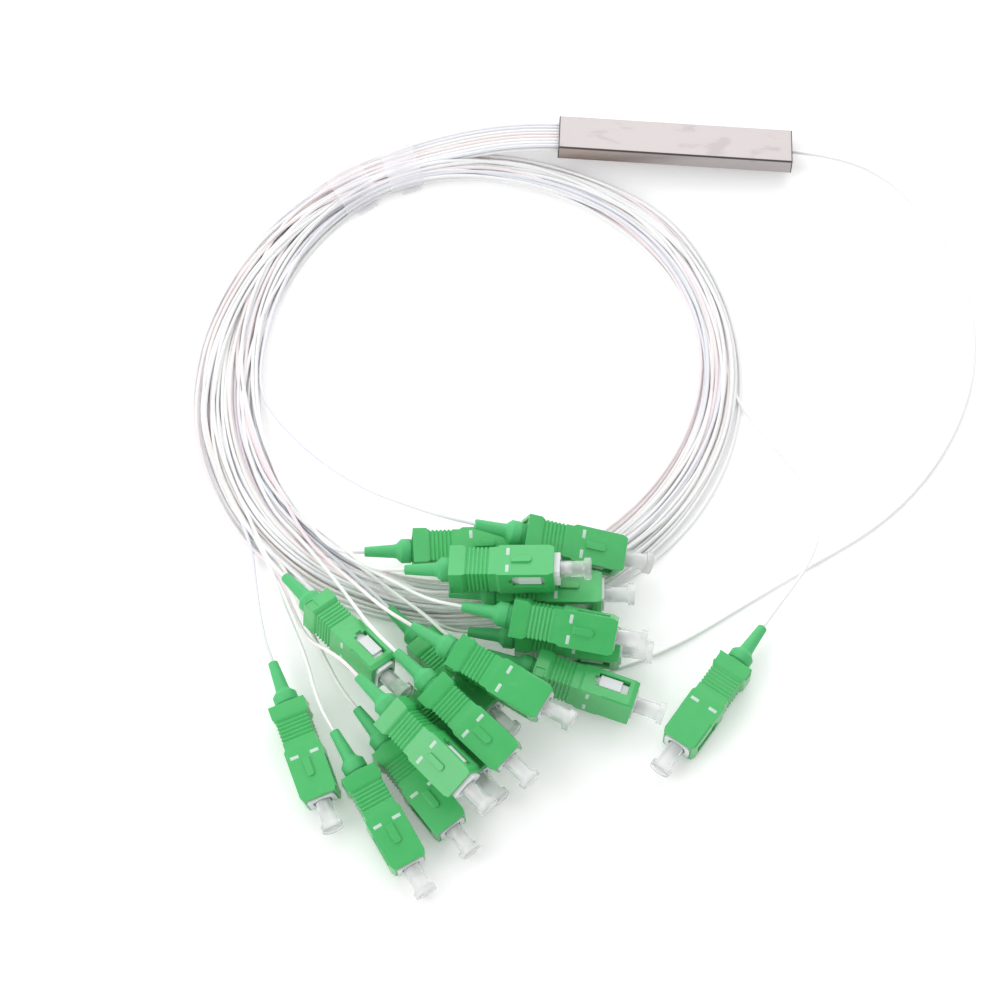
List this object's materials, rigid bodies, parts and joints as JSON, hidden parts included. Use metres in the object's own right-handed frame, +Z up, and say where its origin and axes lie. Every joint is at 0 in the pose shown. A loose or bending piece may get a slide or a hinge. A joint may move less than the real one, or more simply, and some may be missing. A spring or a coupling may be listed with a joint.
{
  "type": "plc fibre splitter",
  "caption": "Steel-tube fibre splitter module with a coiled bundle of buffered fibres ending in keyed push-pull plugs with dust caps.",
  "frame": {"origin": "on the supporting surface, under the middle of the steel tube", "axes": "+X along the tube from the output end to the input end, +Z up from the surface"},
  "size_m": [0.1972, 0.2119, 0.0231],
  "materials": {
    "green_housing": "moulded green, satin gloss",
    "green_boot": "soft moulded green",
    "white_frame": "moulded white",
    "ceramic": "polished zirconia",
    "clear_cap": "clear moulded plastic",
    "fibre_jacket": "white buffered fibre",
    "clear_tape": "cloudy clear tape",
    "steel": "polished stainless tube",
    "end_plug": "potted end plug",
    "silica": "ground silica",
    "adhesive": "soft cured adhesive",
    "bare_fibre": "coated bare fibre"
  },
  "bodies": {
    "splitter": {"adhesive_bed": "adhesive", "bare_input_fibre": "bare_fibre", "fibre_coil": "fibre_jacket", "input_boot": "green_boot", "input_dust_cap": "clear_cap", "input_end_plug": "end_plug", "input_ferrule": "ceramic", "input_fibre": "fibre_jacket", "input_fibre_array": "silica", "input_frame": "white_frame", "output_boots": "green_boot", "output_dust_caps": "clear_cap", "output_end_plug": "end_plug", "output_ferrules": "ceramic", "output_fibre_01": "fibre_jacket", "output_fibre_02": "fibre_jacket", "output_fibre_03": "fibre_jacket", "output_fibre_04": "fibre_jacket", "output_fibre_05": "fibre_jacket", "output_fibre_06": "fibre_jacket", "output_fibre_07": "fibre_jacket", "output_fibre_08": "fibre_jacket", "output_fibre_09": "fibre_jacket", "output_fibre_10": "fibre_jacket", "output_fibre_11": "fibre_jacket", "output_fibre_12": "fibre_jacket", "output_fibre_13": "fibre_jacket", "output_fibre_14": "fibre_jacket", "output_fibre_15": "fibre_jacket", "output_fibre_16": "fibre_jacket", "output_fibre_array": "silica", "output_frames": "white_frame", "output_ribbon": "bare_fibre", "splitter_chip": "silica", "steel_sleeve": "steel", "tape_wrap_1": "clear_tape", "tape_wrap_2": "clear_tape"},
    "grip_output_01": {"output_housing_01": "green_housing"},
    "grip_output_02": {"output_housing_02": "green_housing"},
    "grip_output_03": {"output_housing_03": "green_housing"},
    "grip_output_04": {"output_housing_04": "green_housing"},
    "grip_output_05": {"output_housing_05": "green_housing"},
    "grip_output_06": {"output_housing_06": "green_housing"},
    "grip_output_07": {"output_housing_07": "green_housing"},
    "grip_output_08": {"output_housing_08": "green_housing"},
    "grip_output_09": {"output_housing_09": "green_housing"},
    "grip_output_10": {"output_housing_10": "green_housing"},
    "grip_output_11": {"output_housing_11": "green_housing"},
    "grip_output_12": {"output_housing_12": "green_housing"},
    "grip_output_13": {"output_housing_13": "green_housing"},
    "grip_output_14": {"output_housing_14": "green_housing"},
    "grip_output_15": {"output_housing_15": "green_housing"},
    "grip_output_16": {"output_housing_16": "green_housing"},
    "grip_input": {"input_housing": "green_housing"}
  },
  "joints": [
    {"name": "output_01_grip_slide", "type": "slide", "parent": "splitter", "child": "grip_output_01", "axis": [0.9962, 0.0522, -0.0698], "range_m": [-0.0013, 0.0007]},
    {"name": "output_02_grip_slide", "type": "slide", "parent": "splitter", "child": "grip_output_02", "axis": [0.9511, -0.1, -0.2924], "range_m": [-0.0018, 0.0002]},
    {"name": "output_03_grip_slide", "type": "slide", "parent": "splitter", "child": "grip_output_03", "axis": [0.9956, -0.0348, 0.0872], "range_m": [-0.0006, 0.0014]},
    {"name": "output_04_grip_slide", "type": "slide", "parent": "splitter", "child": "grip_output_04", "axis": [0.9997, -0.0175, 0.0175], "range_m": [-0.0014, 0.0006]},
    {"name": "output_05_grip_slide", "type": "slide", "parent": "splitter", "child": "grip_output_05", "axis": [0.981, -0.1907, -0.0349], "range_m": [-0.0019, 0.0001]},
    {"name": "output_06_grip_slide", "type": "slide", "parent": "splitter", "child": "grip_output_06", "axis": [0.9925, -0.1219, 0], "range_m": [-0.0015, 0.0005]},
    {"name": "output_07_grip_slide", "type": "slide", "parent": "splitter", "child": "grip_output_07", "axis": [0.9458, -0.3073, -0.1045], "range_m": [-0.0016, 0.0004]},
    {"name": "output_08_grip_slide", "type": "slide", "parent": "splitter", "child": "grip_output_08", "axis": [0.8469, -0.5292, -0.0523], "range_m": [-0.0017, 0.0003]},
    {"name": "output_09_grip_slide", "type": "slide", "parent": "splitter", "child": "grip_output_09", "axis": [0.6682, -0.7421, 0.0523], "range_m": [-0.0015, 0.0005]},
    {"name": "output_10_grip_slide", "type": "slide", "parent": "splitter", "child": "grip_output_10", "axis": [0.7154, -0.6909, -0.1045], "range_m": [-0.0018, 0.0002]},
    {"name": "output_11_grip_slide", "type": "slide", "parent": "splitter", "child": "grip_output_11", "axis": [0.6655, -0.7391, 0.1045], "range_m": [-0.0011, 0.0009]},
    {"name": "output_12_grip_slide", "type": "slide", "parent": "splitter", "child": "grip_output_12", "axis": [0.693, -0.7176, -0.0698], "range_m": [-0.001, 0.001]},
    {"name": "output_13_grip_slide", "type": "slide", "parent": "splitter", "child": "grip_output_13", "axis": [0.6142, -0.7861, -0.0698], "range_m": [-0.0018, 0.0002]},
    {"name": "output_14_grip_slide", "type": "slide", "parent": "splitter", "child": "grip_output_14", "axis": [0.4951, -0.8576, -0.1392], "range_m": [-0.0015, 0.0005]},
    {"name": "output_15_grip_slide", "type": "slide", "parent": "splitter", "child": "grip_output_15", "axis": [0.3418, -0.9391, -0.0349], "range_m": [-0.0015, 0.0005]},
    {"name": "output_16_grip_slide", "type": "slide", "parent": "splitter", "child": "grip_output_16", "axis": [0.6561, -0.7547, 0], "range_m": [-0.0015, 0.0005]},
    {"name": "input_grip_slide", "type": "slide", "parent": "splitter", "child": "grip_input", "axis": [-0.5735, -0.819, -0.0175], "range_m": [-0.0017, 0.0003]}
  ]
}
